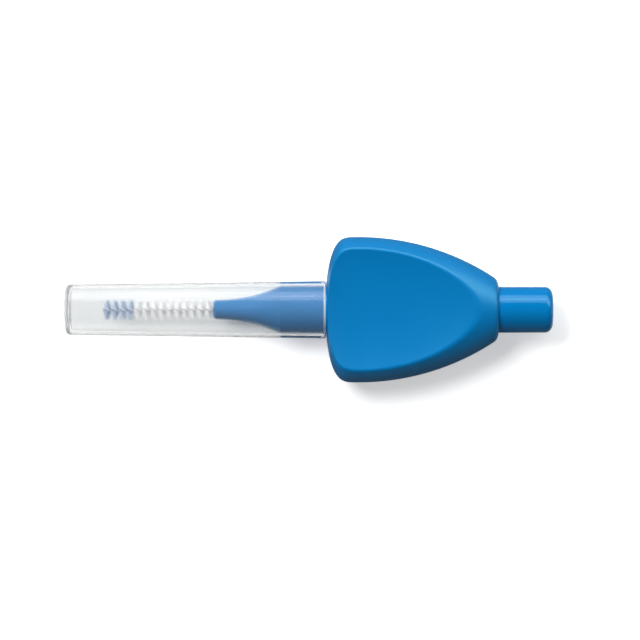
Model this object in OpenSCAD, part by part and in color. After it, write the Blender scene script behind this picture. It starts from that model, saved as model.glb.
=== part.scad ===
// Interdental brush with a dished finger grip and a clear push-on cap.
// X is the long axis: the closed end of the cap points to -X, the free stub to +X.
// The grip lies on the rim of its lower dish, and the origin is under the middle of the length.

/* [Cap] */
// Length of the cap from its closed end to its mouth
cap_l = 28.8; // [26:0.1:36]
// Outer diameter of the cap at its mouth
cap_mouth_d = 6.3; // [5.8:0.05:6.6]
// Outer diameter of the cap at its closed end
cap_end_d = 5.6; // [5.2:0.05:6.2]
// Wall thickness of the cap
cap_wall = 0.45; // [0.3:0.05:0.6]
// How far the closed end bulges
cap_dome = 0.17; // [0.05:0.01:0.5]
// Radius round the closed end
cap_corner_r = 0.6; // [0.5:0.05:1]
// Gap between the cap and the plug that it is pushed on
cap_slip = 0.04; // [0.02:0.01:0.1]
// Gap between the mouth of the cap and the grip
cap_stand_off = 0.05; // [0.02:0.01:0.3]

/* [Handle core] */
// Length of the plug that holds the cap
plug_l = 5.1; // [4:0.1:7]
// Radius on the front edge of the plug
plug_edge_r = 0.2; // [0.1:0.05:0.4]
// Length of the flared neck in front of the plug
neck_l = 7.2; // [6:0.1:8]
// Diameter of the neck where the brush leaves it
neck_tip_d = 1.94; // [1.6:0.02:2.4]
// Radius round the tip of the neck
neck_tip_r = 0.28; // [0.1:0.02:0.4]
// Diameter of the neck where it meets the plug
neck_base_d = 4.9; // [4:0.05:5]
// Diameter of the core inside the grip
spine_d = 4; // [3:0.1:4.4]
// Diameter of the free stub
stub_d = 5.06; // [4.6:0.02:5.4]
// Length of the stub outside the grip
stub_l = 5.75; // [4:0.05:9]
// Radius on the end of the stub
stub_edge_r = 0.85; // [0.3:0.05:1.2]
// How far the plug and the stub reach into the grip at their full width
root_l = 0.3; // [0.2:0.05:0.6]

/* [Grip] */
// Length of the grip
grip_l = 19.25; // [17:0.05:24]
// Greatest width of the grip
grip_w = 16; // [13:0.1:18]
// Distance from the cap side of the grip to its widest place
grip_widest_x = 3.7; // [3:0.1:5]
// Width that the sides of the grip run to at the stub
grip_end_w = 6.2; // [5.9:0.1:8]
// Radius of the bowed side that faces the cap
grip_bow_r = 200; // [60:10:400]
// Rounding along the bowed side
grip_bow_edge = 3.4; // [2:0.1:4]
// Rounding of the nose round the stub
grip_nose_edge = 0.8; // [0.5:0.1:1.2]
// Thickness of the pillow before it is dished, at its widest place
pillow_wide_t = 10.4; // [10:0.1:11]
// Thickness of the pillow at the stub
pillow_end_t = 5.9; // [5.7:0.05:6.4]
// Thickness between the two dishes, one reach or half width from their lowest point
rim_t = 6.6; // [6.4:0.05:7]
// Thickness left between the lowest points of the two dishes
dish_floor_t = 4.8; // [4.7:0.05:5.4]
// Reach of a dish towards the stub
dish_reach = 11.5; // [10:0.1:13]
// Reach of a dish towards the cap, where it curls up to a lip
dish_lip_reach = 4.8; // [4:0.1:6]
// Half the width of a dish
dish_half_w = 7.9; // [7:0.1:8.5]
// Gap in the bond between the grip and the core
bond_gap = 0.01; // [0.005:0.005:0.03]

/* [Brush] */
// Length of the bristled part
brush_l = 12; // [9:0.1:14]
// Diameter over the bristle tips
brush_d = 2.36; // [1.9:0.02:3]
// Length of the coloured bristles at the tip
tip_zone_l = 3.3; // [2:0.1:5]
// Gap between the coloured and the white bristles
zone_gap = 0.04; // [0.02:0.01:0.1]
// Thickness of a bristle at its tip
bristle_tip_t = 0.05; // [0.04:0.005:0.07]
// Thickness of the layer of bristles that the wires grip
bristle_root_t = 0.06; // [0.05:0.005:0.08]
// Distance from the axis to the place where the bristles fan out
bristle_root_r = 0.2; // [0.18:0.01:0.26]
// Diameter of the wire
wire_d = 0.25; // [0.2:0.01:0.3]
// Length of one full turn of the twisted wire
twist_pitch = 1.716; // [1.5:0.002:2]
// Gap between the wire and what it touches
wire_gap = 0.02; // [0.015:0.005:0.04]
// Length of the wire held inside the neck
wire_tail_l = 6; // [4:0.1:9]

/* [Hidden] */

// Facets round turned surfaces
round_facets = 96;
// Steps in a small rounded edge
edge_steps = 6;
// Steps along the flare of the neck
flare_steps = 16;
// Overrun of a cut past the face that it opens
cut_overrun = 1;

// How the sides of the pillow curve: 2 is an ellipse, and more is squarer
end_power = 2;
wide_power = 2.1;
edge_power = 4;
// How late a dish curls up: 2 is a plain bowl, and more is flatter in the middle
dish_power = 2.4;
// Rays from the middle of the grip to its outline
grip_rays = 96;
// Heights of the rings up the side wall, and places of the rings across a dish
wall_shares = [0, 0.3, 0.55, 0.75, 0.89, 0.97, 1];
dish_shares = [0.93, 0.82, 0.65, 0.45, 0.22];
// Halvings in a search along a ray
search_steps = 26;

// Bristles on each side of the wire in one turn of the twist
bristles_per_turn = 24;
// Where the layer of bristles points at the tip of the brush, from +Y
tip_angle = -81;
// Sides of the wire, and rings along one turn of it
wire_sides = 6;
wire_rings_per_turn = 12;
// Rings round the fold at the tip of the wire
fold_rings = 6;

side_rise = (grip_w - grip_end_w) / 2;
side_run = grip_l - grip_widest_x;
side_r = (side_rise * side_rise + side_run * side_run) / (2 * side_rise);
grip_middle_x = grip_l / 2;

// How far behind its foremost point the bowed side meets the lip of the cap
lip_centre_r = (cap_mouth_d - cap_wall) / 2;
bow_back = last_place(function(x) pillow_z(x, lip_centre_r) == 0, 0, grip_widest_x);

overall_l = cap_l + cap_stand_off - bow_back + grip_l + stub_l;
cap_end_x = -overall_l / 2;
cap_mouth_x = cap_end_x + cap_l;
grip_x = cap_mouth_x + cap_stand_off - bow_back;
grip_end_x = grip_x + grip_l;
stub_end_x = grip_end_x + stub_l;
plug_x = grip_x - plug_l;
neck_x = plug_x - neck_l;
brush_x = neck_x - brush_l;
zone_x = brush_x + tip_zone_l;

cap_bore_mouth_r = cap_mouth_d / 2 - cap_wall;
cap_bore_end_r = cap_end_d / 2 - cap_wall;
plug_back_r = cap_bore_mouth_r - cap_slip;

wire_orbit_r = (wire_d + bristle_root_t) / 2 + wire_gap;
wire_hole_r = wire_orbit_r + wire_d / 2 + wire_gap;

grip_upper_rings = concat(
    [for (share = wall_shares) [for (ray = [0:grip_rays - 1]) wall_point(ray, share)]],
    [for (share = dish_shares) [for (ray = [0:grip_rays - 1]) dish_point(ray, share)]]);
grip_half_t = max([for (ring = grip_upper_rings) for (point = ring) point.z]);
axis_z = max(grip_half_t, cap_mouth_d / 2, cap_end_d / 2, stub_d / 2);

function mix(low, high, share) = low + (high - low) * share;

function arc(centre, radius, from, to, steps = edge_steps) =
    [for (step = [0:steps])
        let (angle = mix(from, to, step / steps))
        centre + radius * [cos(angle), sin(angle)]];

// The farthest place between near and far at which the test still holds
function last_place(test, near, far, steps = search_steps) =
    let (middle = (near + far) / 2)
    steps == 0 ? near
    : test(middle) ? last_place(test, middle, far, steps - 1)
    : last_place(test, near, middle, steps - 1);

// The grip is a pillow with a dish in each face. Its own x starts at the bowed side.
function swell(x) =
    let (share = min(1, max(0, (grip_l - x) / side_run)))
    1 - pow(1 - share, 2);

function side_y(x) =
    grip_w / 2 - side_r + sqrt(pow(side_r, 2) - pow(max(0, min(x, grip_l) - grip_widest_x), 2));

function pillow_z(x, y) =
    let (power = mix(end_power, wide_power, swell(x)),
         from_bow = x - y * y / (2 * grip_bow_r),
         bow = max(0, 1 - from_bow / grip_bow_edge),
         nose = max(0, 1 - (grip_l - x) / grip_nose_edge),
         room = 1 - pow(abs(y) / side_y(x), power) - pow(bow, edge_power) - pow(nose, edge_power))
    room > 0 ? mix(pillow_end_t, pillow_wide_t, swell(x)) / 2 * pow(room, 1 / power) : 0;

function dish_z(x, y) =
    let (along = (x - grip_widest_x) / (x > grip_widest_x ? dish_reach : dish_lip_reach),
         out = norm([along, y / dish_half_w]))
    mix(dish_floor_t, rim_t, pow(out, dish_power)) / 2;

function ray_place(ray, distance) =
    let (angle = 360 * ray / grip_rays)
    [grip_middle_x + distance * cos(angle), distance * sin(angle)];

function ray_pillow_z(ray, distance) =
    let (place = ray_place(ray, distance)) pillow_z(place.x, place.y);

function ray_dish_z(ray, distance) =
    let (place = ray_place(ray, distance)) dish_z(place.x, place.y);

function rim_distance(ray) =
    last_place(function(d) ray_pillow_z(ray, d) > ray_dish_z(ray, d), 0, grip_l);

function wall_point(ray, share) =
    let (rim = rim_distance(ray),
         height = share * ray_pillow_z(ray, rim),
         distance = share == 1 ? rim
             : last_place(function(d) ray_pillow_z(ray, d) > height, rim, grip_l))
    concat(ray_place(ray, distance), height);

function dish_point(ray, share) =
    let (distance = share * rim_distance(ray))
    concat(ray_place(ray, distance), ray_dish_z(ray, distance));

function flipped(rings) =
    [for (at = [len(rings) - 1:-1:1]) [for (point = rings[at]) [point.x, point.y, -point.z]]];

// The twist: a direction across the axis, turning along X
function twist_angle(x) = tip_angle + 360 * (x - brush_x) / twist_pitch;
function across(angle) = [0, cos(angle), sin(angle)];

// One wire is folded at the tip: out along one strand, round the fold, and back along the other
function strand_place(x, side) = [x, 0, 0] + side * wire_orbit_r * across(twist_angle(x) + 90);

function fold_place(turn) =
    let (x = brush_x - wire_orbit_r * sin(turn))
    [x, 0, 0] + wire_orbit_r * cos(turn) * across(twist_angle(x) + 90);

function unit(v) = v / norm(v);

function wire_ring(path, at) =
    let (along = unit(path[min(at + 1, len(path) - 1)] - path[max(at - 1, 0)]),
         outward = path[at] - [max(path[at].x, brush_x), 0, 0],
         side = unit(outward - (outward * along) * along),
         over = cross(along, side))
    [for (corner = [0:wire_sides - 1])
        let (angle = 360 * corner / wire_sides)
        path[at] + wire_d / 2 * (cos(angle) * side + sin(angle) * over)];

// A closed skin over a stack of rings, each turning anticlockwise about the way the stack runs
module skin(rings, start, end) {
    sides = len(rings[0]);
    last = 1 + len(rings) * sides;
    points = concat([start], [for (ring = rings) for (point = ring) point], [end]);
    bands = [for (ring = [0:len(rings) - 2]) for (side = [0:sides - 1])
        let (a = 1 + ring * sides + side,
             b = 1 + ring * sides + (side + 1) % sides)
        each [[a, a + sides, b + sides], [a, b + sides, b]]];
    start_fan = [for (side = [0:sides - 1]) [0, 1 + side, 1 + (side + 1) % sides]];
    end_fan = [for (side = [0:sides - 1])
        [last, last - sides + (side + 1) % sides, last - sides + side]];
    polyhedron(points, concat(bands, start_fan, end_fan));
}

// Turns a profile of [radius, distance along X] about the axis
module turned(start_x, profile) {
    translate([start_x, 0, axis_z])
        rotate([0, 90, 0])
            rotate_extrude($fn = round_facets)
                polygon(profile);
}

// A round cut along the axis, from one x to another
module bored(from_x, to_x, radius) {
    translate([from_x, 0, axis_z])
        rotate([0, 90, 0])
            cylinder(h = to_x - from_x, r = radius, $fn = round_facets);
}

module cap() {
    end_r = cap_end_d / 2;
    mouth_r = cap_mouth_d / 2;
    lip_r = cap_wall / 2;
    inner_corner_r = cap_corner_r - cap_wall / 2;
    dome_run = end_r - cap_corner_r;
    dome_r = (dome_run * dome_run + cap_dome * cap_dome) / (2 * cap_dome);
    dome_angle = asin(dome_run / dome_r);
    outside = concat(
        arc([0, dome_r], dome_r, -90, -90 + dome_angle),
        arc([dome_run, cap_dome + cap_corner_r], cap_corner_r, -90, 0));
    lip = arc([mouth_r - lip_r, cap_l - lip_r], lip_r, 0, 180);
    inside = concat(
        arc([cap_bore_end_r - inner_corner_r, cap_dome + cap_wall + inner_corner_r], inner_corner_r, 0, -90),
        [[0, cap_dome + cap_wall]]);
    color("#e9eef0", 0.4)
        turned(cap_end_x, concat(outside, lip, inside));
}

module handle_core() {
    tip_r = neck_tip_d / 2;
    base_r = neck_base_d / 2;
    stub_r = stub_d / 2;
    plug_front_r = mix(cap_bore_mouth_r, cap_bore_end_r, (cap_mouth_x - plug_x) / cap_l) - cap_slip;
    grip_at = neck_l + plug_l;
    spine_at = grip_at + root_l;
    stub_at = grip_at + grip_l - root_l;
    end_at = grip_at + grip_l + stub_l;
    flare = [for (step = [1:flare_steps])
        let (share = step / flare_steps)
        [mix(tip_r, base_r, share * share), mix(neck_tip_r, neck_l, share)]];
    profile = concat(
        [[0, 0]],
        arc([tip_r - neck_tip_r, neck_tip_r], neck_tip_r, -90, 0),
        flare,
        arc([plug_front_r - plug_edge_r, neck_l + plug_edge_r], plug_edge_r, -45, 0),
        [[plug_back_r, grip_at], [plug_back_r, spine_at], [spine_d / 2, spine_at]],
        [[spine_d / 2, stub_at], [stub_r, stub_at]],
        arc([stub_r - stub_edge_r, end_at - stub_edge_r], stub_edge_r, 0, 90),
        [[0, end_at]]);
    color("#1f86c9")
        difference() {
            turned(neck_x, profile);
            bored(neck_x - cut_overrun, neck_x + wire_tail_l + wire_gap, wire_hole_r);
        }
}

module grip() {
    upper = grip_upper_rings;
    rings = concat(flipped(upper), upper);
    middle_z = dish_z(grip_middle_x, 0);
    color("#0a78be")
        difference() {
            translate([grip_x, 0, axis_z])
                skin(rings, [grip_middle_x, 0, -middle_z], [grip_middle_x, 0, middle_z]);
            bored(grip_x - cut_overrun, grip_end_x + cut_overrun, spine_d / 2 + bond_gap);
            bored(grip_x - cut_overrun, grip_x + root_l, plug_back_r + bond_gap);
            bored(grip_end_x - root_l, grip_end_x + cut_overrun, stub_d / 2 + bond_gap);
        }
}

module wire() {
    tail_x = neck_x + wire_tail_l;
    steps = ceil(wire_rings_per_turn * (tail_x - brush_x) / twist_pitch);
    out = [for (step = [0:steps]) strand_place(mix(tail_x, brush_x, step / steps), 1)];
    fold = [for (step = [1:fold_rings - 1]) fold_place(180 * step / fold_rings)];
    back = [for (step = [0:steps]) strand_place(mix(brush_x, tail_x, step / steps), -1)];
    path = concat(out, fold, back);
    color("#a9adb4")
        translate([0, 0, axis_z])
            skin([for (at = [0:len(path) - 1]) wire_ring(path, at)], path[0], path[len(path) - 1]);
}

// A layer of bristles gripped between the two strands of wire, from one x to another.
// It twists with them, and a bristle grows from each piece of its two narrow edges.
module bristles(from_x, to_x) {
    steps = round(bristles_per_turn * (to_x - from_x) / twist_pitch);
    root_t = bristle_root_t / 2;
    tip_t = bristle_tip_t / 2;
    function corner(x, reach, thick, side, face) =
        let (angle = twist_angle(x))
        side * (reach * across(angle) + face * thick * across(angle + 90));
    roots = [for (step = [0:steps])
        let (x = mix(from_x, to_x, step / steps))
        for (side = [1, -1], face = [1, -1])
            [x, 0, 0] + corner(x, bristle_root_r, root_t, side, face)];
    tips = [for (step = [0:steps - 1])
        let (x = mix(from_x, to_x, (step + 1 / 2) / steps))
        for (side = [1, -1], at = [[-1, 1], [1, 1], [1, -1], [-1, -1]])
            [x + at[0] * tip_t, 0, 0] + corner(x, brush_d / 2, tip_t, side, at[1])];
    layer = [for (step = [0:steps - 1])
        let (a = 4 * step, b = a + 4)
        each [[a, a + 3, b + 3, b], [a + 2, a + 1, b + 1, b + 2]]];
    ends = [[0, 1, 2, 3], [4 * steps + 3, 4 * steps + 2, 4 * steps + 1, 4 * steps]];
    strands = [for (step = [0:steps - 1], edge = [0, 1])
        let (a = 4 * step + 2 * edge,
             root = [a, a + 4, a + 5, a + 1],
             first_tip = len(roots) + 8 * step + 4 * edge,
             tip = [for (k = [0:3]) first_tip + k])
        each concat([tip], [for (k = [0:3]) [root[k], root[(k + 1) % 4], tip[(k + 1) % 4], tip[k]]])];
    translate([0, 0, axis_z])
        polyhedron(concat(roots, tips),
            [for (quad = concat(layer, ends, strands))
                each [[quad[2], quad[1], quad[0]], [quad[3], quad[2], quad[0]]]]);
}

module tip_bristles() {
    color("#7f97c6")
        bristles(brush_x, zone_x - zone_gap / 2);
}

module field_bristles() {
    color("#f2f4f5")
        bristles(zone_x + zone_gap / 2, neck_x - zone_gap);
}

cap();
handle_core();
grip();
wire();
tip_bristles();
field_bristles();
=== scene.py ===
import math
import random

import bmesh
import bpy
from bpy.props import FloatProperty, FloatVectorProperty, IntProperty, PointerProperty
from mathutils import Matrix, Vector


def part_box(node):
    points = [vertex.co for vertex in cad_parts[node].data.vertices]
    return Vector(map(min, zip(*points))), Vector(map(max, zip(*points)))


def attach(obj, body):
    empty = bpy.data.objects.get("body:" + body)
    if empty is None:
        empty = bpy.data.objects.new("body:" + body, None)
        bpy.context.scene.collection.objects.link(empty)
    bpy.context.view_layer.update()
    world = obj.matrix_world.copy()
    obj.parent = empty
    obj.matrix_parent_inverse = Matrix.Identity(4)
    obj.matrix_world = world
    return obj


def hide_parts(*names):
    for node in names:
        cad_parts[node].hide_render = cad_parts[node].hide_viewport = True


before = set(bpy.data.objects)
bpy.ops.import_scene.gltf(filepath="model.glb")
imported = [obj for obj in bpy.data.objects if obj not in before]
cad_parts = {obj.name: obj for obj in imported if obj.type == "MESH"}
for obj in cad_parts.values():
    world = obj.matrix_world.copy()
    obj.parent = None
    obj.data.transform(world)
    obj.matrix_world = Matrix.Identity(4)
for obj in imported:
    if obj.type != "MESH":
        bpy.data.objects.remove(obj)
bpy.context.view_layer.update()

bl_info = {
    "name": "Interdental brush",
    "version": (1, 0, 0),
    "blender": (4, 5, 0),
    "location": "View3D > Sidebar > Brush",
    "description": "Finished pieces of an interdental brush with a clear push-on cap",
    "category": "Object",
}

MM = 0.001
# Vertices closer than this are one
MERGE = 0.0005 * MM
# Degrees past which an edge stays sharp, where a piece doesn't ask for another angle
CREASE = 35
# Faces round the cap and the moulding, and round the seats that hold the moulding
ROUND_FACES = 160

# Where the solids are
CAP_LOW, CAP_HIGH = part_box("cap")
CORE_LOW, CORE_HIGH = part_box("handle_core")
TIP_LOW, TIP_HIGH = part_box("tip_bristles")
FIELD_LOW, FIELD_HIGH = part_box("field_bristles")
AXIS_Z = (CORE_LOW.z + CORE_HIGH.z) / 2
NECK_X = CORE_LOW.x
STUB_X = CORE_HIGH.x


# Settings that a user can change

def linear(hex_colour):
    """Linear RGB of an sRGB hex colour."""
    channels = (int(hex_colour[at:at + 2], 16) / 255 for at in (1, 3, 5))
    return tuple(c / 12.92 if c <= 0.04045 else ((c + 0.055) / 1.055) ** 2.4 for c in channels)


def length(name, description, millimetres):
    """A size that a user can change."""
    return FloatProperty(name=name, description=description, default=millimetres * MM, min=0.0,
                         unit="LENGTH", subtype="DISTANCE", precision=5)


def colour(name, description, hex_colour):
    """A colour that a user can change."""
    return FloatVectorProperty(name=name, description=description, default=linear(hex_colour),
                               min=0.0, max=1.0, size=3, subtype="COLOR")


def share(name, description, value):
    """A number from 0 to 1 that a user can change."""
    return FloatProperty(name=name, description=description, default=value, min=0.0, max=1.0,
                         subtype="FACTOR")


class CapSettings(bpy.types.PropertyGroup):
    wall: length("Wall", "Thickness of the tube", 0.45)
    end_radius: length("End radius", "Outer radius at the closed end", 2.8)
    dome: length("Dome", "How far the closed end bulges", 0.17)
    corner: length("Corner", "Radius round the closed end", 0.6)
    slip: length("Slip", "Gap between the cap and the plug", 0.04)
    tint: colour("Tint", "Colour of the clear plastic", "#f8f9f9")
    haze: share("Haze", "Share of the light that the plastic scatters", 0.035)
    frost: share("Frost", "Roughness of the moulded surface", 0.13)
    lip_haze: share("Lip haze", "Light that the polished round lip scatters", 0.5)
    end_haze: share("End haze", "Light that the closed end scatters", 0.45)


class CoreSettings(bpy.types.PropertyGroup):
    plug_length: length("Plug", "Length of the plug that holds the cap", 5.1)
    plug_edge: length("Plug edge", "Radius on the front edge of the plug", 0.2)
    tip_radius: length("Tip radius", "Radius of the neck where the brush leaves it", 1.07)
    tip_edge: length("Tip edge", "Radius round the tip of the neck", 0.38)
    base_radius: length("Base radius", "Radius of the neck where it meets the plug", 2.54)
    anchor_radius: length("Anchor", "Radius of the bore that holds the wire", 0.32)
    anchor_depth: length("Anchor depth", "Depth of the bore that holds the wire", 6.02)
    rib_arc: FloatProperty(name="Rib arc", description="How far a rib reaches round the plug",
                           default=math.radians(30), subtype="ANGLE", unit="ROTATION")
    rib_root: length("Rib root", "Depth of a rib in the plug", 0.1)
    rib_press: length("Rib press", "How far a rib presses in the cap", 0.004)
    rib_stop: length("Rib stop", "Distance from the ribs to the mouth of the cap", 0.5)
    spine_radius: length("Spine", "Radius of the core inside the grip", 2.0)
    root: length("Root", "How far the plug and the stub reach into the grip", 0.3)
    stub_radius: length("Stub", "Radius of the free stub", 2.53)
    stub_length: length("Stub length", "Length of the stub outside the grip", 5.75)
    stub_edge: length("Stub edge", "Radius on the end of the stub", 0.85)
    plastic: colour("Plastic", "Colour of the glossy plastic", "#0079bc")


class GripSettings(bpy.types.PropertyGroup):
    pad_length: length("Length", "Length of the grip", 19.25)
    width: length("Width", "Greatest width", 16.0)
    widest: length("Widest place", "Distance from the cap side to the widest place", 3.7)
    end_width: length("End width", "Width that the sides run to at the stub", 6.2)
    bow: length("Bow", "Radius of the bowed side that faces the cap", 200.0)
    bow_edge: length("Bow edge", "Rounding along the bowed side", 3.4)
    nose_edge: length("Nose edge", "Rounding of the nose round the stub", 0.8)
    wide_height: length("Pillow", "Half the thickness of the pillow before it is dished", 5.2)
    end_height: length("Pillow end", "Half the thickness of the pillow at the stub", 2.95)
    rim_height: length("Rim", "Half the thickness where a dish ends", 3.3)
    floor_height: length("Floor", "Half the thickness between the dishes", 2.4)
    reach: length("Reach", "Reach of a dish towards the stub", 11.5)
    lip_reach: length("Lip reach", "Reach of a dish towards the cap", 4.8)
    dish_width: length("Dish width", "Half the width of a dish", 7.9)
    rim_blend: length("Rim blend", "Depth over which the rims are rounded", 0.25)
    seam: length("Seam", "Gap between the grip and the core", 0.03)
    plastic: colour("Plastic", "Colour of the satin plastic", "#0079bc")


class BrushSettings(bpy.types.PropertyGroup):
    wire_radius: length("Wire", "Radius of the wire", 0.105)
    twist_pitch: length("Twist", "Length of one turn of the twisted wire", 1.716)
    layer: length("Layer", "Thickness of the bristles between the wires", 0.06)
    wire_gap: length("Wire gap", "Gap between the wire and the bristles", 0.02)
    tail: length("Tail", "Length of the wire held inside the neck", 6.0)
    filament: length("Filament", "Thickness of a filament", 0.04)
    tip_angle: FloatProperty(name="Tip angle", description="Where the filaments point at the tip",
                             default=math.radians(-81), subtype="ANGLE", unit="ROTATION")
    tip_count: IntProperty(name="Tip filaments", description="Coloured filaments in one turn",
                           default=110, min=8)
    field_count: IntProperty(name="White filaments", description="White filaments in one turn",
                             default=104, min=8)
    splay: FloatProperty(name="Splay", description="How far filaments stray from the twist",
                         default=math.radians(11), subtype="ANGLE", unit="ROTATION")
    seed: IntProperty(name="Seed", description="Start of the random strays", default=7)
    steel: colour("Steel", "Colour of the wire", "#eeeff1")
    tip_nylon: colour("Tip bristles", "Colour of the filaments at the tip", "#a8bfdc")
    field_nylon: colour("White bristles", "Colour of the other filaments", "#fafbfc")


class StageSettings(bpy.types.PropertyGroup):
    pixel: length("Pixel", "Width that one pixel of the photograph covers", 0.11)
    lens: FloatProperty(name="Lens", description="Focal length of the camera in mm",
                        default=200.0, min=50.0)
    floor: colour("Floor", "Colour of the floor", "#f2f3f3")
    table: colour("Table", "Colour of the table past the board, for light and gloss", "#5c5d5e")
    board: length("Board", "Half the width of the white board", 8.0)
    floor_lift: share("Floor lift", "Light that the floor adds to look white", 0.5)
    softbox_light: FloatProperty(name="Softbox", description="Radiance of the low softbox",
                                 default=1.9, min=0.0)
    strip_light: FloatProperty(name="Strip", description="Radiance of the strip in the softbox",
                               default=2.8, min=0.0)
    key_light: FloatProperty(name="Key", description="Radiance of the lamp overhead",
                             default=13.8, min=0.0)
    wall_light: share("Walls", "Strength of the light from the walls", 0.12)
    ceiling_light: share("Ceiling", "Strength of the light from the ceiling", 0.05)


# Materials

# Noise lies mostly between these values
NOISE_LOW, NOISE_HIGH = 0.3, 0.7
# Share of the light that one wall of the cap lets straight through
WALL_PASSES = 0.985


def add_node(tree, kind, inputs=None, **settings):
    """Adds a node, sets its properties, and fills or links its inputs by name or number."""
    node = tree.nodes.new(kind)
    for name, value in settings.items():
        setattr(node, name, value)
    for name, value in (inputs or {}).items():
        if isinstance(value, bpy.types.NodeSocket):
            tree.links.new(value, node.inputs[name])
        else:
            node.inputs[name].default_value = value
    return node


def new_material(name):
    """An empty material and its node tree."""
    material = bpy.data.materials.new(name)
    material.use_nodes = True
    material.node_tree.nodes.clear()
    return material, material.node_tree


def stretched_noise(tree, grain, stretch=1.0, detail=3.0):
    """Noise whose blots are grain wide and stretch times as long along X."""
    place = add_node(tree, "ShaderNodeTexCoord").outputs["Object"]
    mapping = add_node(tree, "ShaderNodeMapping", {"Vector": place, "Scale": (1 / stretch, 1, 1)})
    return add_node(tree, "ShaderNodeTexNoise",
                    {"Vector": mapping.outputs["Vector"], "Scale": 1 / grain, "Detail": detail})


def ramped(tree, value, low, high):
    """Spreads a noise value over the range from low to high."""
    return add_node(tree, "ShaderNodeMapRange",
                    {"Value": value, "From Min": NOISE_LOW, "From Max": NOISE_HIGH,
                     "To Min": low, "To Max": high}).outputs["Result"]


def shades(tree, value, tone, spread):
    """Colours a little darker and lighter than tone, by a noise value."""
    dark = [c * (1 - spread) for c in tone]
    light = [min(1.0, c * (1 + spread)) for c in tone]
    return add_node(tree, "ShaderNodeMix", {"Factor": value, "A": (*dark, 1), "B": (*light, 1)},
                    data_type="RGBA").outputs["Result"]


def clear_frosted_polypropylene(cap):
    """Clear moulded polypropylene: a faint milky haze and a soft skin that blurs what is behind.

    The round lip and the closed end are thicker to look through, so they are milkier."""
    material, tree = new_material("clear_frosted_polypropylene")
    flow = stretched_noise(tree, 1.5 * MM, 8.0)
    place = add_node(tree, "ShaderNodeTexCoord").outputs["Object"]
    along = add_node(tree, "ShaderNodeSeparateXYZ", {0: place}).outputs["X"]
    lip_starts, lip_milky = CAP_HIGH.x - 0.3 * MM, CAP_HIGH.x - 0.12 * MM
    end_milky, end_stops = CAP_LOW.x + 0.15 * MM, CAP_LOW.x + 0.6 * MM
    lip = add_node(tree, "ShaderNodeMapRange", {
        "Value": along, "From Min": lip_starts, "From Max": lip_milky,
        "To Min": 1 - cap.haze, "To Max": 1 - cap.lip_haze}).outputs["Result"]
    end = add_node(tree, "ShaderNodeMapRange", {
        "Value": along, "From Min": end_milky, "From Max": end_stops,
        "To Min": 1 - cap.end_haze, "To Max": 1 - cap.haze}).outputs["Result"]
    clear = add_node(tree, "ShaderNodeMath", {0: lip, 1: end}, operation="MINIMUM")
    plastic = add_node(tree, "ShaderNodeBsdfPrincipled", {
        "Base Color": (*cap.tint, 1),
        "Roughness": ramped(tree, flow.outputs["Fac"], cap.frost * 0.9, cap.frost * 1.1),
        "IOR": 1.49,
        "Transmission Weight": clear.outputs[0],
        "Coat Weight": 0.4,
        "Coat Roughness": 0.4,
        "Coat IOR": 1.5,
    })
    # Light for what is inside passes straight in, once, instead of also being bent on its way
    passed = add_node(tree, "ShaderNodeBsdfTransparent", {
        "Color": (WALL_PASSES, WALL_PASSES, WALL_PASSES, 1)})
    path = add_node(tree, "ShaderNodeLightPath")
    surface = plastic.outputs["BSDF"]
    for ray in ("Is Shadow Ray", "Is Diffuse Ray"):
        surface = add_node(tree, "ShaderNodeMixShader", {
            "Fac": path.outputs[ray], 1: surface, 2: passed.outputs["BSDF"]}).outputs["Shader"]
    add_node(tree, "ShaderNodeOutputMaterial", {"Surface": surface})
    return material


def gloss_moulded_polypropylene(core):
    """Polypropylene from a polished mould: clean streaks of gloss with a trace of flow along X."""
    material, tree = new_material("gloss_moulded_polypropylene")
    flow = stretched_noise(tree, 0.5 * MM, 8.0)
    skin = stretched_noise(tree, 1.2 * MM, 2.0, 1.0)
    bump = add_node(tree, "ShaderNodeBump",
                    {"Height": skin.outputs["Fac"], "Strength": 0.04, "Distance": 0.02 * MM})
    plastic = add_node(tree, "ShaderNodeBsdfPrincipled", {
        "Base Color": shades(tree, flow.outputs["Fac"], core.plastic, 0.03),
        "Roughness": ramped(tree, flow.outputs["Fac"], 0.14, 0.18),
        "IOR": 1.49,
        "Specular IOR Level": 0.7,
        "Specular Tint": (0.6, 1, 1, 1),
        "Normal": bump.outputs["Normal"],
    })
    add_node(tree, "ShaderNodeOutputMaterial", {"Surface": plastic.outputs["BSDF"]})
    return material


def satin_moulded_elastomer(grip):
    """Soft elastomer from a spark-eroded mould: a fine even grain that spreads every highlight.

    The real grain is about 0.03 mm wide. It is drawn four times as coarse, so that it shows."""
    material, tree = new_material("satin_moulded_elastomer")
    tone = stretched_noise(tree, 4.0 * MM)
    grain = stretched_noise(tree, 0.12 * MM, 1.0, 2.0)
    bump = add_node(tree, "ShaderNodeBump",
                    {"Height": grain.outputs["Fac"], "Strength": 0.25, "Distance": 0.01 * MM})
    plastic = add_node(tree, "ShaderNodeBsdfPrincipled", {
        "Base Color": shades(tree, tone.outputs["Fac"], grip.plastic, 0.03),
        "Roughness": ramped(tree, tone.outputs["Fac"], 0.34, 0.4),
        "IOR": 1.5,
        "Specular IOR Level": 1.0,
        "Specular Tint": (0.4, 1, 1, 1),
        "Normal": bump.outputs["Normal"],
    })
    add_node(tree, "ShaderNodeOutputMaterial", {"Surface": plastic.outputs["BSDF"]})
    return material


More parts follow.
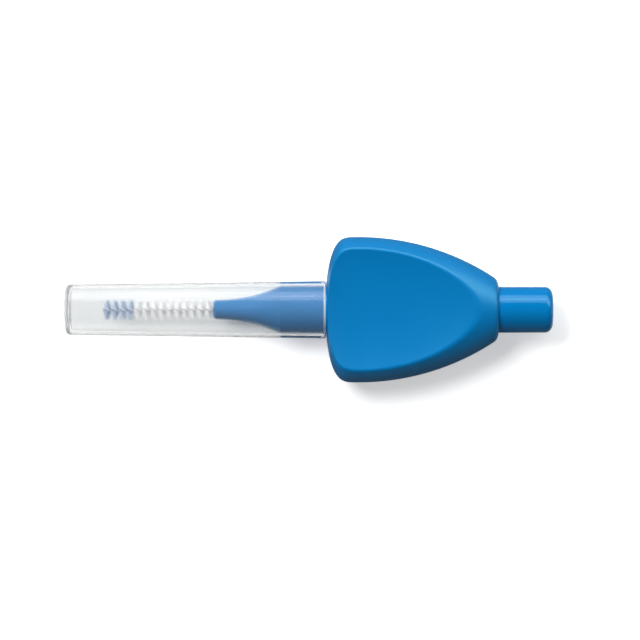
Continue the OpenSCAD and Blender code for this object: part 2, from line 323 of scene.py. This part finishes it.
def drawn_stainless_steel(brush):
    """Stainless steel drawn to thin wire: pale, with fine drawing lines that dull it unevenly.

    It is only partly metallic, because no lamp shows in it through the cap."""
    material, tree = new_material("drawn_stainless_steel")
    lines = stretched_noise(tree, 0.05 * MM, 5.0)
    steel = add_node(tree, "ShaderNodeBsdfPrincipled", {
        "Base Color": shades(tree, lines.outputs["Fac"], brush.steel, 0.12),
        "Metallic": 0.3,
        "Roughness": ramped(tree, lines.outputs["Fac"], 0.4, 0.55),
    })
    add_node(tree, "ShaderNodeOutputMaterial", {"Surface": steel.outputs["BSDF"]})
    return material


def extruded_nylon(name, tone):
    """Nylon filament, extruded and trimmed: smooth and slightly waxy, a little uneven in tone."""
    material, tree = new_material(name)
    uneven = stretched_noise(tree, 0.2 * MM)
    nylon = add_node(tree, "ShaderNodeBsdfPrincipled", {
        "Base Color": shades(tree, uneven.outputs["Fac"], tone, 0.06),
        "Roughness": ramped(tree, uneven.outputs["Fac"], 0.3, 0.42),
        "IOR": 1.53,
        "Subsurface Weight": 0.4,
        "Subsurface Radius": (1.0, 1.0, 1.0),
        "Subsurface Scale": 0.1 * MM,
    })
    # Real filaments are finer and let light round them, so these cast no shadow
    passed = add_node(tree, "ShaderNodeBsdfTransparent", {"Color": (1, 1, 1, 1)})
    path = add_node(tree, "ShaderNodeLightPath")
    surface = add_node(tree, "ShaderNodeMixShader", {
        "Fac": path.outputs["Is Shadow Ray"], 1: nylon.outputs["BSDF"], 2: passed.outputs["BSDF"]})
    add_node(tree, "ShaderNodeOutputMaterial", {"Surface": surface.outputs["Shader"]})
    return material


# Outlines, bodies and objects

def arc(x, radius, size, start, end, steps=12):
    """Points of (x, radius) on an arc round a centre, with its angles in degrees from +X."""
    turns = (math.radians(start + (end - start) * step / steps) for step in range(steps + 1))
    return [(x + size * math.cos(turn), radius + size * math.sin(turn)) for turn in turns]


def steadied(outline, margin=0.04 * MM):
    """An outline with more points near the ends of its long runs, which keep their shading even."""
    points = outline[:1]
    for (x0, radius0), (x1, radius1) in zip(outline, outline[1:]):
        run = math.hypot(x1 - x0, radius1 - radius0)
        stops = (margin / run, 0.5, 1 - margin / run) if run > 4 * margin else ()
        points += [(x0 + (x1 - x0) * stop, radius0 + (radius1 - radius0) * stop) for stop in stops]
        points.append((x1, radius1))
    return points


def spun(outline):
    """Spins an outline of (x, radius) points about the long axis into a closed body."""
    bm = bmesh.new()
    line = [bm.verts.new((x, 0, AXIS_Z + radius)) for x, radius in steadied(outline)]
    edges = [bm.edges.new(pair) for pair in zip(line, line[1:])]
    bmesh.ops.spin(bm, geom=line + edges, cent=(0, 0, AXIS_Z), axis=(1, 0, 0), angle=math.tau,
                   steps=ROUND_FACES, use_merge=True)
    bmesh.ops.remove_doubles(bm, verts=bm.verts, dist=MERGE)
    bmesh.ops.recalc_face_normals(bm, faces=bm.faces)
    return bm


def ring_edges(bm, ring):
    """The edges of a closed ring of vertices."""
    return [bm.edges.get(pair) for pair in zip(ring, ring[1:] + ring[:1])]


def next_ring(bm, ring, places):
    """Extrudes a closed ring of vertices, and moves the new ring to its places."""
    made = set(bmesh.ops.extrude_edge_only(bm, edges=ring_edges(bm, ring))["geom"])
    grown = [next(e.other_vert(v) for e in v.link_edges if e.other_vert(v) in made) for v in ring]
    for vert, place in zip(grown, places):
        vert.co = place
    return grown


def lofted(rings):
    """A tube through rings of places, open at both ends, and its first and last vertices."""
    bm = bmesh.new()
    first = bmesh.ops.create_circle(bm, segments=len(rings[0]), radius=MM)["verts"]
    for vert, place in zip(first, rings[0]):
        vert.co = place
    last = first
    for places in rings[1:]:
        last = next_ring(bm, last, places)
    return bm, first, last


def mesh_of(bm, name):
    """Turns a bmesh into a mesh."""
    mesh = bpy.data.meshes.new(name)
    bm.to_mesh(mesh)
    bm.free()
    return mesh


def new_object(context, name, data):
    """An object at the origin of the scene."""
    made = bpy.data.objects.new(name, data)
    context.scene.collection.objects.link(made)
    return made


def add_piece(context, bm, name, material, body, slot, *nodes, crease=CREASE):
    """Makes a smooth object of a bmesh, which rides on a body and stands for CAD nodes.

    Edges that turn by more than crease degrees stay sharp."""
    mesh = mesh_of(bm, name)
    mesh.shade_smooth()
    mesh.set_sharp_from_angle(angle=math.radians(crease))
    mesh.materials.append(material)
    piece = new_object(context, name, mesh)
    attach(piece, body)
    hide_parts(*nodes)
    return piece


def bore_radius(cap, x):
    """Radius of the tapered bore of the cap at a place along X."""
    mouth = CAP_HIGH.z - AXIS_Z - cap.wall
    end = cap.end_radius - cap.wall
    return mouth + (end - mouth) * (CAP_HIGH.x - x) / (CAP_HIGH.x - CAP_LOW.x)


def plug_radius(cap, x):
    """Radius of the plug, which fills the bore but for the slip."""
    return bore_radius(cap, x) - cap.slip


def grip_ends(core, grip):
    """The places along X at which the grip starts, beside the plug, and ends, at the stub."""
    end = STUB_X - core.stub_length
    return end - grip.pad_length, end


class BRUSH_OT_cap(bpy.types.Operator):
    """Adds the clear tapered cap"""
    bl_idname = "brush.cap"
    bl_label = "Cap"

    def execute(self, context):
        cap = context.scene.brush_cap
        low, high = CAP_LOW.x, CAP_HIGH.x
        mouth_radius = CAP_HIGH.z - AXIS_Z
        run = cap.end_radius - cap.corner
        dome_radius = (run ** 2 + cap.dome ** 2) / (2 * cap.dome)
        dome_angle = math.degrees(math.asin(run / (dome_radius - cap.corner)))
        corner_x = low + dome_radius - math.sqrt((dome_radius - cap.corner) ** 2 - run ** 2)
        inner_corner = cap.corner - cap.wall / 2
        inner_x = low + cap.dome + cap.wall
        bore_end = bore_radius(cap, inner_x + inner_corner)
        lip = cap.wall / 2
        outline = arc(low + dome_radius, 0, dome_radius, 180, 180 - dome_angle, 10)[:-1]
        outline += arc(corner_x, run, cap.corner, 180 - dome_angle, 90)
        outline += arc(high - lip, mouth_radius - lip, lip, 90, -90)
        outline += arc(inner_x + inner_corner, bore_end - inner_corner, inner_corner, 90, 180)
        outline += [(inner_x, 0)]
        add_piece(context, spun(outline), "cap_shell", clear_frosted_polypropylene(cap),
                  "cap", "clear_polypropylene", "cap")
        return {"FINISHED"}


# How finely the neck and the ribs are drawn, and the angle that keeps the moulding's edges
FLARE_STEPS = 32
RIB_STEPS = 24
MOULDING_CREASE = 40


def plug_rib(core, cap, start, end, side):
    """A low rib round part of the plug, which presses on the bore of the cap."""
    bm = bmesh.new()
    corners = []
    root = -cap.slip - core.rib_root
    for x, proud in ((start, root), (start, core.rib_press), (end, core.rib_press), (end, root)):
        corners.append(bm.verts.new((x, 0, AXIS_Z + bore_radius(cap, x) + proud)))
    turned = Matrix.Rotation(side - core.rib_arc / 2, 4, "X")
    about = Matrix.Translation((0, 0, AXIS_Z))
    bmesh.ops.transform(bm, matrix=about @ turned @ about.inverted(), verts=corners)
    first = bmesh.ops.contextual_create(bm, geom=corners)["faces"]
    bmesh.ops.spin(bm, geom=first, cent=(0, 0, AXIS_Z), axis=(1, 0, 0), angle=core.rib_arc,
                   steps=RIB_STEPS)
    bmesh.ops.remove_doubles(bm, verts=bm.verts, dist=MERGE)
    bmesh.ops.recalc_face_normals(bm, faces=bm.faces)
    return bm


class BRUSH_OT_core(bpy.types.Operator):
    """Adds the glossy moulding: neck, plug, spine and stub"""
    bl_idname = "brush.core"
    bl_label = "Handle core"

    def execute(self, context):
        scene = context.scene
        core, cap, grip = scene.brush_core, scene.brush_cap, scene.brush_grip
        grip_x, grip_end = grip_ends(core, grip)
        plug_x = grip_x - core.plug_length
        plug_front, plug_back = plug_radius(cap, plug_x), plug_radius(cap, CAP_HIGH.x)
        mouth = core.anchor_radius
        tip_edge, plug_edge, stub_edge = core.tip_edge, core.plug_edge, core.stub_edge
        outline = [(NECK_X + core.anchor_depth, 0), (NECK_X + core.anchor_depth, mouth)]
        outline += arc(NECK_X + mouth / 4, mouth * 5 / 4, mouth / 4, 270, 180, 4)
        outline += arc(NECK_X + tip_edge, core.tip_radius - tip_edge, tip_edge, 180, 90)
        for step in range(1, FLARE_STEPS + 1):
            along = step / FLARE_STEPS
            outline.append((NECK_X + tip_edge + (plug_x - NECK_X - tip_edge) * along,
                            core.tip_radius + (core.base_radius - core.tip_radius) * along ** 2))
        outline += arc(plug_x + plug_edge, plug_front - plug_edge, plug_edge, 135, 90, 6)
        outline += [(grip_x, plug_back), (grip_x + core.root, plug_back),
                    (grip_x + core.root, core.spine_radius),
                    (grip_end - core.root, core.spine_radius),
                    (grip_end - core.root, core.stub_radius)]
        outline += arc(STUB_X - stub_edge, core.stub_radius - stub_edge, stub_edge, 90, 0, 16)
        outline += [(STUB_X, 0)]
        plastic = gloss_moulded_polypropylene(core)
        add_piece(context, spun(outline), "handle_moulding", plastic,
                  "handle", "gloss_blue_plastic", "handle_core", crease=MOULDING_CREASE)
        rib_start, rib_end = plug_x + plug_edge, CAP_HIGH.x - core.rib_stop
        for name, side in (("plug_rib_left", 90), ("plug_rib_right", -90)):
            rib = plug_rib(core, cap, rib_start, rib_end, math.radians(side))
            add_piece(context, rib, name, plastic,
                      "handle", "gloss_blue_plastic", "handle_core", crease=MOULDING_CREASE)
        return {"FINISHED"}


# The pillow's cross section is an oval, which this makes a little squarer where it is thick,
# and its bowed side and its nose fall off late, by this power
SQUARER = 0.1
EDGE_POWER = 4
# How late a dish curls up towards its rims
DISH_POWER = 2.4

# Rays and rings of the pad's mesh
PAD_RAYS, PAD_RINGS = 256, 72
# Samples along a ray, and the power that crowds them at the outline, where the pad is steepest
RAY_SAMPLES, RAY_POWER = 400, 3.5
# How closely rings lie in the dish, and what the outer wall and the rim add to that
DISH_RINGS, WALL_RINGS, RIM_RINGS = 0.35, 1.0, 6
# How far to each side of the rim its share reaches
RIM_BAND = 0.35 * MM


def last_place(test, far, halvings=48):
    """The farthest distance up to far at which the test still holds."""
    near = 0.0
    for _ in range(halvings):
        middle = (near + far) / 2
        near, far = (middle, far) if test(middle) else (near, middle)
    return near


def pillow_height(grip, x, y):
    """Half the thickness of the pillow, before it is dished, at a place on the grip."""
    side_run = grip.pad_length - grip.widest
    side_rise = (grip.width - grip.end_width) / 2
    side_radius = (side_rise ** 2 + side_run ** 2) / (2 * side_rise)
    past_widest = max(0.0, min(x, grip.pad_length) - grip.widest)
    half_width = grip.width / 2 - side_radius + math.sqrt(side_radius ** 2 - past_widest ** 2)
    swell = 1 - (1 - min(1.0, max(0.0, (grip.pad_length - x) / side_run))) ** 2
    power = 2 + SQUARER * swell
    bow = max(0.0, 1 - (x - y * y / (2 * grip.bow)) / grip.bow_edge)
    nose = max(0.0, 1 - (grip.pad_length - x) / grip.nose_edge)
    room = 1 - (abs(y) / half_width) ** power - bow ** EDGE_POWER - nose ** EDGE_POWER
    height = grip.end_height + (grip.wide_height - grip.end_height) * swell
    return height * room ** (1 / power) if room > 0 else 0.0


def dish_height(grip, x, y):
    """Height of the dish above the middle of the grip. It curls up late, towards its rims."""
    along = (x - grip.widest) / (grip.reach if x > grip.widest else grip.lip_reach)
    out = math.hypot(along, y / grip.dish_width)
    return grip.floor_height + (grip.rim_height - grip.floor_height) * out ** DISH_POWER


def blended(a, b, blend):
    """The lower of two heights, rounded where they cross."""
    near = max(0.0, 1 - abs(a - b) / blend)
    return min(a, b) - near * near * blend / 4


def pad_ray(grip, turn):
    """Places from the outline of the grip to near its middle along one ray, closest at the rim."""
    middle = grip.pad_length / 2
    along_x, along_y = math.cos(turn), math.sin(turn)

    def surface(height, distance):
        return height(grip, middle + distance * along_x, distance * along_y)

    edge = last_place(lambda d: surface(pillow_height, d) > 0, grip.pad_length)
    rim = last_place(lambda d: surface(pillow_height, d) > surface(dish_height, d), edge)
    track = [(edge, 0.0)]
    for step in range(1, RAY_SAMPLES):
        distance = edge * (1 - (step / RAY_SAMPLES) ** RAY_POWER)
        heights = surface(pillow_height, distance), surface(dish_height, distance)
        track.append((distance, max(0.0, blended(*heights, grip.rim_blend))))
    gathered = [0.0]
    for (d0, z0), (d1, z1) in zip(track, track[1:]):
        near_rim = math.exp(-((d1 - rim) / RIM_BAND) ** 2)
        density = DISH_RINGS + (WALL_RINGS if d1 > rim else 0.0) + RIM_RINGS * near_rim
        gathered.append(gathered[-1] + math.hypot(d1 - d0, z1 - z0) * density)
    places, at = [], 0
    for ring in range(PAD_RINGS):
        wanted = gathered[-1] * ring / (PAD_RINGS - 1)
        while at < RAY_SAMPLES - 2 and gathered[at + 1] < wanted:
            at += 1
        part = (wanted - gathered[at]) / (gathered[at + 1] - gathered[at])
        distance, height = (a + (b - a) * part for a, b in zip(track[at], track[at + 1]))
        places.append((middle + distance * along_x, distance * along_y, height))
    return places


def seat_cutter(context, start, end, radius):
    """A plain cylinder along the axis that cuts a seat in the grip."""
    bm = bmesh.new()
    middle = Matrix.Translation(((start + end) / 2, 0, AXIS_Z))
    bmesh.ops.create_cone(bm, cap_ends=True, segments=ROUND_FACES, radius1=radius, radius2=radius,
                          depth=end - start, matrix=middle @ Matrix.Rotation(math.pi / 2, 4, "Y"))
    return new_object(context, "seat_cutter", mesh_of(bm, "seat_cutter"))


class BRUSH_OT_grip(bpy.types.Operator):
    """Adds the satin finger grip with a dish in each face"""
    bl_idname = "brush.grip"
    bl_label = "Grip"

    def execute(self, context):
        scene = context.scene
        core, cap, grip = scene.brush_core, scene.brush_cap, scene.brush_grip
        grip_x, grip_end = grip_ends(core, grip)
        # The upper face is lofted from its outline inwards, closed in its middle and mirrored
        rays = [pad_ray(grip, math.tau * ray / PAD_RAYS) for ray in range(PAD_RAYS)]
        bm, _, inner = lofted([[ray[ring] for ray in rays] for ring in range(PAD_RINGS)])
        middle = bmesh.ops.contextual_create(bm, geom=ring_edges(bm, inner))
        centre = bmesh.ops.poke(bm, faces=middle["faces"])["verts"][0]
        centre.co.z = dish_height(grip, centre.co.x, centre.co.y)
        bmesh.ops.mirror(bm, geom=bm.verts[:] + bm.edges[:] + bm.faces[:], axis="Z",
                         merge_dist=MERGE)
        bmesh.ops.remove_doubles(bm, verts=bm.verts, dist=MERGE)
        bmesh.ops.recalc_face_normals(bm, faces=bm.faces)
        bmesh.ops.translate(bm, verts=bm.verts, vec=(grip_x, 0, AXIS_Z))
        pad = add_piece(context, bm, "finger_pad", satin_moulded_elastomer(grip),
                        "handle", "satin_blue_plastic", "grip")
        plug_back = plug_radius(cap, CAP_HIGH.x)
        # The seats of the spine, the plug and the stub. Each runs out past the grip
        cutters = [
            seat_cutter(context, grip_x - MM, grip_end + MM, core.spine_radius + grip.seam),
            seat_cutter(context, grip_x - MM, grip_x + core.root, plug_back + grip.seam),
            seat_cutter(context, grip_end - core.root, grip_end + MM, core.stub_radius + grip.seam),
        ]
        for cutter in cutters:
            cut = pad.modifiers.new("seat", "BOOLEAN")
            cut.object = cutter
            cut.solver = "EXACT"
        graph = context.evaluated_depsgraph_get()
        cut_mesh = bpy.data.meshes.new_from_object(pad.evaluated_get(graph))
        pad.modifiers.clear()
        pad.data = cut_mesh
        cut_mesh.set_sharp_from_angle(angle=math.radians(CREASE))
        for cutter in cutters:
            bpy.data.objects.remove(cutter)
        return {"FINISHED"}


# Rings of the wire in one turn of the twist and round its fold, its sides, and the angle that
# keeps its cut ends sharp
TURN_RINGS, FOLD_RINGS, WIRE_SIDES = 32, 16, 12
WIRE_CREASE = 50

# Sides of a filament, the cuts along it, where it bends, and the angle that keeps its trimmed
# ends sharp
FILAMENT_SIDES, FILAMENT_CUTS = 5, 5
FILAMENT_CREASE = 80
# Shares by which a filament thins towards its ends, and by which the trimming is uneven
FILAMENT_THINS, TRIM_UNEVEN = 0.3, 0.03
# How late a filament slants along the wire, and how far, against its lean round the wire
SLANT_POWER, SLANT_SHARE = 1.5, 0.7


def twist(brush, x):
    """Angle from +Y to which the filaments point at a place along X."""
    return brush.tip_angle + math.tau * (x - TIP_LOW.x) / brush.twist_pitch


def across(turn, distance=1.0):
    """A place at a distance from the axis, in the direction of an angle from +Y."""
    return Vector((0, distance * math.cos(turn), distance * math.sin(turn)))


def wire_path(brush, orbit):
    """One wire folded at the tip: out along a strand, round the fold and back along the other."""
    tail_x = NECK_X + brush.tail
    steps = math.ceil(TURN_RINGS * (tail_x - TIP_LOW.x) / brush.twist_pitch)
    out = []
    for step in range(steps + 1):
        x = tail_x + (TIP_LOW.x - tail_x) * step / steps
        out.append(Vector((x, 0, 0)) + across(twist(brush, x) + math.pi / 2, orbit))
    fold = []
    for step in range(1, FOLD_RINGS):
        turn = math.pi * step / FOLD_RINGS
        x = TIP_LOW.x - orbit * math.sin(turn)
        off_axis = across(twist(brush, x) + math.pi / 2, orbit * math.cos(turn))
        fold.append(Vector((x, 0, 0)) + off_axis)
    back = [Vector((place.x, -place.y, -place.z)) for place in reversed(out)]
    return out + fold + back


class BRUSH_OT_wire(bpy.types.Operator):
    """Adds the twisted wire"""
    bl_idname = "brush.wire"
    bl_label = "Wire"

    def execute(self, context):
        brush = context.scene.brush_bristles
        orbit = brush.wire_radius + brush.layer / 2 + brush.wire_gap
        path = wire_path(brush, orbit)
        rings = []
        for at, place in enumerate(path):
            along = (path[min(at + 1, len(path) - 1)] - path[max(at - 1, 0)]).normalized()
            outward = place - Vector((max(place.x, TIP_LOW.x), 0, 0))
            side = (outward - outward.dot(along) * along).normalized()
            over = along.cross(side)
            ring = []
            for corner in range(WIRE_SIDES):
                turn = math.tau * corner / WIRE_SIDES
                spot = place + brush.wire_radius * (math.cos(turn) * side + math.sin(turn) * over)
                ring.append(spot + Vector((0, 0, AXIS_Z)))
            rings.append(ring)
        bm, first, last = lofted(rings)
        for end in (first, last):
            bmesh.ops.contextual_create(bm, geom=ring_edges(bm, end))
        bmesh.ops.recalc_face_normals(bm, faces=bm.faces)
        add_piece(context, bm, "twisted_wire", drawn_stainless_steel(brush),
                  "handle", "steel_wire", "wire", crease=WIRE_CREASE)
        return {"FINISHED"}


def straight_filament(brush, radius):
    """A mesh of one straight filament along Z, thinner towards its trimmed ends."""
    bm = bmesh.new()
    bmesh.ops.create_cone(bm, cap_ends=True, segments=FILAMENT_SIDES, radius1=brush.filament / 2,
                          radius2=brush.filament / 2, depth=2 * radius)
    long_edges = [e for e in bm.edges if abs(e.verts[0].co.z - e.verts[1].co.z) > radius]
    bmesh.ops.subdivide_edges(bm, edges=long_edges, cuts=FILAMENT_CUTS, use_grid_fill=True)
    for vert in bm.verts:
        out = abs(vert.co.z) / radius
        thin = 1 - FILAMENT_THINS * out ** 2
        vert.co.x *= thin
        vert.co.y *= thin
    return mesh_of(bm, "straight_filament")


def filament_layer(brush, from_x, to_x, radius, per_turn, chance):
    """Filaments through the twist from one x to another, each straying a little."""
    straight = straight_filament(brush, radius)
    bm = bmesh.new()
    count = round(per_turn * (to_x - from_x) / brush.twist_pitch)
    for number in range(count):
        x = from_x + (to_x - from_x) * (number + 0.5) / count
        turn = twist(brush, x)
        # Each half of a filament has its own lean round the wire, slant along it and length
        strays = [(chance.gauss(0, 1), chance.gauss(0, 1), 1 - TRIM_UNEVEN * chance.random())
                  for _ in range(2)]
        first = len(bm.verts)
        bm.from_mesh(straight)
        bm.verts.ensure_lookup_table()
        for vert in bm.verts[first:]:
            over, along, out = vert.co
            lean, slant, trim = strays[0 if out > 0 else 1]
            far = abs(out) / radius
            bend = turn + brush.splay * lean * far
            place = across(bend, out * trim) + across(bend + math.pi / 2, over)
            place.x = x + along + brush.splay * slant * far ** SLANT_POWER * radius * SLANT_SHARE
            place.z += AXIS_Z
            vert.co = place
    bpy.data.meshes.remove(straight)
    bmesh.ops.recalc_face_normals(bm, faces=bm.faces)
    return bm


class BRUSH_OT_bristles(bpy.types.Operator):
    """Adds the coloured filaments at the tip and the white ones behind them"""
    bl_idname = "brush.bristles"
    bl_label = "Bristles"

    def execute(self, context):
        brush = context.scene.brush_bristles
        chance = random.Random(brush.seed)
        radius = TIP_HIGH.z - AXIS_Z
        tip = filament_layer(brush, TIP_LOW.x, TIP_HIGH.x, radius, brush.tip_count, chance)
        field = filament_layer(brush, FIELD_LOW.x, FIELD_HIGH.x, radius, brush.field_count, chance)
        blue = extruded_nylon("blue_extruded_nylon", brush.tip_nylon)
        white = extruded_nylon("white_extruded_nylon", brush.field_nylon)
        add_piece(context, tip, "tip_filaments", blue,
                  "handle", "blue_nylon", "tip_bristles", crease=FILAMENT_CREASE)
        add_piece(context, field, "field_filaments", white,
                  "handle", "white_nylon", "field_bristles", crease=FILAMENT_CREASE)
        return {"FINISHED"}


# The stage

# Metres from the middle of the floor to its sides
FLOOR_REACH = 3.0
# For each kind of ray, where the white of the board starts to fade and where it stops to, in
# half widths of the board from the axis, and the share of it that is left there
BOARD_FADES = (
    ("Is Transmission Ray", 1.0, 1.6, 0.0),
    ("Is Diffuse Ray", 0.5, 0.7, 0.5),
    ("Is Glossy Ray", 0.5, 0.7, 0.0),
)
# The floor's painted light seen through the cap: weaker at its middle, and stronger along its walls
# to paint them paler, and the distances from the axis between which it changes
MIDDLE_PAINTED_GLOW, WALL_PAINTED_GLOW = 0.24, 0.62
MIDDLE_ENDS, WALL_STARTS = 1.7 * MM, 2.3 * MM
# Share of the white ground that gloss mirrors. With more of it the edges of the blue go grey
MIRRORED_WHITE = 0.05
# Height of a direction at which the walls of the room have turned into its ceiling
CEILING_RISE = 0.6
# The lamps: name, setting for its radiance, azimuth from +X and tilt from +Z in degrees,
# distance, width and height in metres, and whether gloss mirrors it
LAMPS = (
    ("low_softbox", "softbox_light", 72, 57, 0.45, 1.1, 0.33, True),
    ("bright_strip", "strip_light", 72, 54, 0.44, 1.1, 0.035, True),
    ("overhead_lamp", "key_light", 140, 35, 0.6, 0.26, 0.26, False),
)
# The photograph's frame in pixels, and the object's middle and its long axis in it
FRAME_SIDE = 640
MIDDLE_COLUMN, AXIS_ROW = 308.25, 309.7


def add_lamp(context, name, radiance, azimuth, tilt, distance, width, height):
    """Adds a rectangular lamp that faces the middle of the object."""
    lamp = bpy.data.lights.new(name, "AREA")
    lamp.shape = "RECTANGLE"
    lamp.size, lamp.size_y = width, height
    lamp.energy = math.pi * radiance * width * height
    holder = bpy.data.objects.new(name, lamp)
    away = Vector((math.sin(tilt) * math.cos(azimuth), math.sin(tilt) * math.sin(azimuth),
                   math.cos(tilt)))
    holder.location = Vector((0.0, 0.0, AXIS_Z)) + away * distance
    holder.rotation_euler = away.to_track_quat("Z", "Y").to_euler()
    # A lamp seen through the cap would draw streaks along it
    holder.visible_transmission = False
    context.scene.collection.objects.link(holder)
    return holder


def white_rays(tree):
    """The light path, its rays that clear plastic lets through, and the faint white in gloss."""
    path = add_node(tree, "ShaderNodeLightPath")
    unmirrored = add_node(tree, "ShaderNodeMath", {0: path.outputs["Glossy Depth"], 1: 0.5},
                          operation="LESS_THAN")
    through = add_node(tree, "ShaderNodeMath", {
        0: path.outputs["Is Transmission Ray"], 1: unmirrored.outputs[0]}, operation="MULTIPLY")
    mirrored = add_node(tree, "ShaderNodeMath", {
        0: path.outputs["Is Glossy Ray"], 1: MIRRORED_WHITE}, operation="MULTIPLY")
    return path, through.outputs[0], mirrored.outputs[0]


def white_floor(stage):
    """Matt white board on a dim table, which the camera sees as white all over."""
    material, tree = new_material("matt_white_board")
    path, through, mirrored = white_rays(tree)
    camera_ray = path.outputs["Is Camera Ray"]
    place = add_node(tree, "ShaderNodeTexCoord").outputs["Object"]
    across_axis = add_node(tree, "ShaderNodeSeparateXYZ", {0: place}).outputs["Y"]
    aside = add_node(tree, "ShaderNodeMath", {0: across_axis}, operation="ABSOLUTE").outputs[0]

    # Where light, gloss and the clear plastic meet the white board, and not the dim table
    board = {}
    for ray, start, stop, left in BOARD_FADES:
        fade = add_node(tree, "ShaderNodeMapRange", {
            "Value": aside, "From Min": start * stage.board, "From Max": stop * stage.board,
            "To Min": 1.0, "To Max": left})
        board[ray] = add_node(tree, "ShaderNodeMath", {
            0: path.outputs[ray], 1: fade.outputs["Result"]}, operation="MULTIPLY").outputs[0]
    bright = camera_ray
    for white in (through, *board.values()):
        bright = add_node(tree, "ShaderNodeMath", {0: bright, 1: white},
                          operation="MAXIMUM").outputs[0]
    fibre = stretched_noise(tree, 3.0 * MM)
    tone = add_node(tree, "ShaderNodeMix", {
        "Factor": bright, "A": (*stage.table, 1),
        "B": shades(tree, fibre.outputs["Fac"], stage.floor, 0.004)}, data_type="RGBA")

    # The light of its own that makes the floor white for the camera. Through the cap it is a
    # painted glow, stronger along the cap's walls
    clear = add_node(tree, "ShaderNodeMath", {0: through, 1: board["Is Transmission Ray"]},
                     operation="MAXIMUM")
    # Painted light: the floor seen through the cap glows more under the cap's walls than under its
    # middle, which paints the walls paler
    painted_glow = add_node(tree, "ShaderNodeMapRange", {
        "Value": aside, "From Min": MIDDLE_ENDS, "From Max": WALL_STARTS,
        "To Min": MIDDLE_PAINTED_GLOW, "To Max": WALL_PAINTED_GLOW})
    behind = add_node(tree, "ShaderNodeMath", {0: clear.outputs[0], 1: painted_glow.outputs["Result"]},
                      operation="MULTIPLY")
    seen = camera_ray
    for white in (behind.outputs[0], mirrored):
        seen = add_node(tree, "ShaderNodeMath", {0: seen, 1: white}, operation="MAXIMUM").outputs[0]
    lift = add_node(tree, "ShaderNodeMath", {0: seen, 1: stage.floor_lift}, operation="MULTIPLY")
    card = add_node(tree, "ShaderNodeBsdfPrincipled", {
        "Base Color": tone.outputs["Result"],
        "Roughness": 0.9,
        "Specular IOR Level": 0.0,
        "Emission Color": (1, 1, 1, 1),
        "Emission Strength": lift.outputs[0],
    })
    add_node(tree, "ShaderNodeOutputMaterial", {"Surface": card.outputs["BSDF"]})
    return material


def studio_surround(stage):
    """White for the camera and through the cap, and a dim room for everything else."""
    world = bpy.data.worlds.new("studio_surround")
    world.use_nodes = True
    tree = world.node_tree
    tree.nodes.clear()
    direction = add_node(tree, "ShaderNodeTexCoord").outputs["Generated"]
    rise = add_node(tree, "ShaderNodeSeparateXYZ", {0: direction}).outputs["Z"]
    strength = add_node(tree, "ShaderNodeMapRange", {
        "Value": rise, "From Min": 0.0, "From Max": CEILING_RISE,
        "To Min": stage.wall_light, "To Max": stage.ceiling_light}).outputs["Result"]
    path, through, mirrored = white_rays(tree)
    for white in (path.outputs["Is Camera Ray"], through, mirrored):
        strength = add_node(tree, "ShaderNodeMath", {0: strength, 1: white},
                            operation="MAXIMUM").outputs[0]
    room = add_node(tree, "ShaderNodeBackground", {"Color": (1, 1, 1, 1), "Strength": strength})
    add_node(tree, "ShaderNodeOutputWorld", {"Surface": room.outputs["Background"]})
    return world


class BRUSH_OT_stage(bpy.types.Operator):
    """Adds the floor, the lamps, the surrounding white and the camera"""
    bl_idname = "brush.stage"
    bl_label = "Stage"

    def execute(self, context):
        scene, stage = context.scene, context.scene.brush_stage
        bm = bmesh.new()
        bmesh.ops.create_grid(bm, x_segments=1, y_segments=1, size=FLOOR_REACH)
        mesh = mesh_of(bm, "floor")
        mesh.materials.append(white_floor(stage))
        floor = new_object(context, "floor", mesh)

        for name, setting, azimuth, tilt, distance, width, height, mirrored in LAMPS:
            lamp = add_lamp(context, name, getattr(stage, setting), math.radians(azimuth),
                            math.radians(tilt), distance, width, height)
            lamp.visible_glossy = mirrored
        scene.world = studio_surround(stage)

        lens = bpy.data.cameras.new("camera")
        lens.lens = stage.lens
        camera = new_object(context, "camera", lens)
        distance = FRAME_SIDE * stage.pixel * lens.lens / lens.sensor_width
        camera.location = ((FRAME_SIDE / 2 - MIDDLE_COLUMN) * stage.pixel,
                           -(FRAME_SIDE / 2 - AXIS_ROW) * stage.pixel, AXIS_Z + distance)
        scene.camera = camera
        scene.view_settings.view_transform = "Standard"
        return {"FINISHED"}


# The add-on

class BRUSH_PT_panel(bpy.types.Panel):
    """Lists the pieces of the brush and their settings"""
    bl_idname = "BRUSH_PT_panel"
    bl_label = "Interdental brush"
    bl_space_type = "VIEW_3D"
    bl_region_type = "UI"
    bl_category = "Brush"

    def draw(self, context):
        for operator, settings in PIECES:
            box = self.layout.box()
            box.operator(operator)
            group = getattr(context.scene, settings)
            for name in group.bl_rna.properties.keys():
                if name not in ("rna_type", "name"):
                    box.prop(group, name)


# Each operator and the settings that it reads, in the order in which they run
PIECES = (
    ("brush.stage", "brush_stage"),
    ("brush.cap", "brush_cap"),
    ("brush.core", "brush_core"),
    ("brush.grip", "brush_grip"),
    ("brush.wire", "brush_bristles"),
    ("brush.bristles", "brush_bristles"),
)
GROUPS = {
    "brush_cap": CapSettings,
    "brush_core": CoreSettings,
    "brush_grip": GripSettings,
    "brush_bristles": BrushSettings,
    "brush_stage": StageSettings,
}
CLASSES = (*GROUPS.values(), BRUSH_OT_cap, BRUSH_OT_core, BRUSH_OT_grip, BRUSH_OT_wire,
           BRUSH_OT_bristles, BRUSH_OT_stage, BRUSH_PT_panel)


def register():
    for cls in CLASSES:
        bpy.utils.register_class(cls)
    for name, group in GROUPS.items():
        setattr(bpy.types.Scene, name, PointerProperty(type=group))


def unregister():
    for name in GROUPS:
        delattr(bpy.types.Scene, name)
    for cls in reversed(CLASSES):
        bpy.utils.unregister_class(cls)


def main():
    register()
    bpy.ops.brush.stage()
    bpy.ops.brush.cap()
    bpy.ops.brush.core()
    bpy.ops.brush.grip()
    bpy.ops.brush.wire()
    bpy.ops.brush.bristles()


if __name__ == "__main__":
    main()
